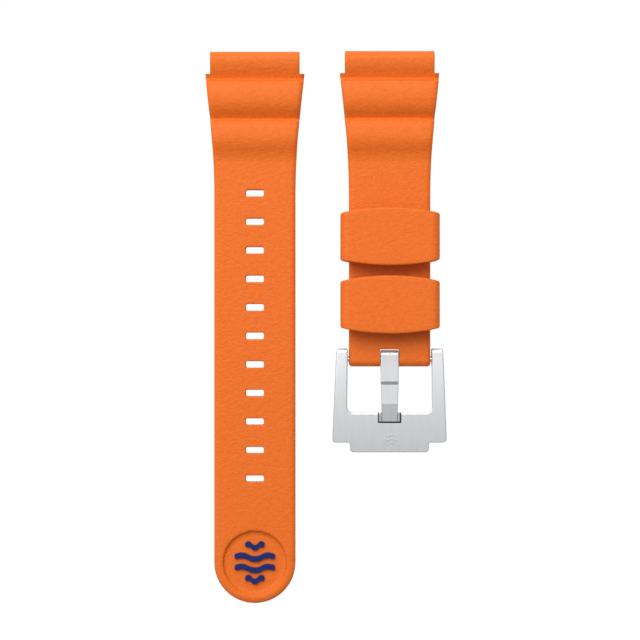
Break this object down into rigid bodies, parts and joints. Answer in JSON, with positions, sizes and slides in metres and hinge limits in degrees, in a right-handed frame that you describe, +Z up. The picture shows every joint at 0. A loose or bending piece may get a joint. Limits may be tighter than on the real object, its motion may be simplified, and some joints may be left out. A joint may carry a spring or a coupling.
{
  "type": "two-piece rubber dive watch strap",
  "caption": "Two-piece wave-end rubber dive watch strap for 22 mm lugs, with keepers, a sprung bar and a steel tang buckle, lying flat.",
  "frame": {"origin": "on the surface the strap lies on, under the middle of the whole", "axes": "+X across the straps from the long half to the short half, +Y along them towards the lug ends, +Z up out of the outer face"},
  "size_m": [0.0592, 0.1352, 0.0096],
  "materials": {
    "orange_rubber": "fine moulded grain, matte",
    "blue_rubber": "smooth satin",
    "buckle_steel": "fine satin",
    "spring_bar_steel": "turned"
  },
  "bodies": {
    "short_strap": {"short_strap": "orange_rubber", "spring_bar_tube": "spring_bar_steel", "spring_bar_coil": "spring_bar_steel"},
    "long_strap": {"long_strap": "orange_rubber", "emblem_bar_1": "blue_rubber", "emblem_bar_2": "blue_rubber", "emblem_bar_3": "blue_rubber", "emblem_bar_4": "blue_rubber"},
    "keeper_upper": {"keeper_upper": "orange_rubber"},
    "keeper_lower": {"keeper_lower": "orange_rubber"},
    "buckle": {"buckle_frame": "buckle_steel"},
    "tang": {"buckle_tang": "buckle_steel"},
    "tip_left": {"spring_bar_tip_left": "spring_bar_steel"},
    "tip_right": {"spring_bar_tip_right": "spring_bar_steel"}
  },
  "joints": [
    {"name": "long_strap_lift", "type": "slide", "parent": "short_strap", "child": "long_strap", "axis": [0, 0, 1], "range_m": [0, 0.03]},
    {"name": "keeper_upper_slide", "type": "slide", "parent": "short_strap", "child": "keeper_upper", "axis": [0, 1, 0], "range_m": [-0.001, 0.0075]},
    {"name": "keeper_lower_slide", "type": "slide", "parent": "short_strap", "child": "keeper_lower", "axis": [0, 1, 0], "range_m": [-0.0025, 0.001]},
    {"name": "buckle_hinge", "type": "hinge", "parent": "short_strap", "child": "buckle", "pos_m": [0.01555, -0.0078, 0.003], "axis": [-1, 0, 0], "range_deg": [-90, 20]},
    {"name": "tang_hinge", "type": "hinge", "parent": "buckle", "child": "tang", "pos_m": [0.01555, -0.0078, 0.003], "axis": [-1, 0, 0], "range_deg": [0, 80]},
    {"name": "tip_left_push", "type": "slide", "parent": "short_strap", "child": "tip_left", "axis": [1, 0, 0], "range_m": [0, 0.0012], "stiffness_N_per_m": 300, "springref_m": -0.002, "deforming": ["spring_bar_coil"]},
    {"name": "tip_right_push", "type": "slide", "parent": "short_strap", "child": "tip_right", "axis": [-1, 0, 0], "range_m": [0, 0.0012], "stiffness_N_per_m": 300, "springref_m": -0.002, "deforming": ["spring_bar_coil"]}
  ]
}
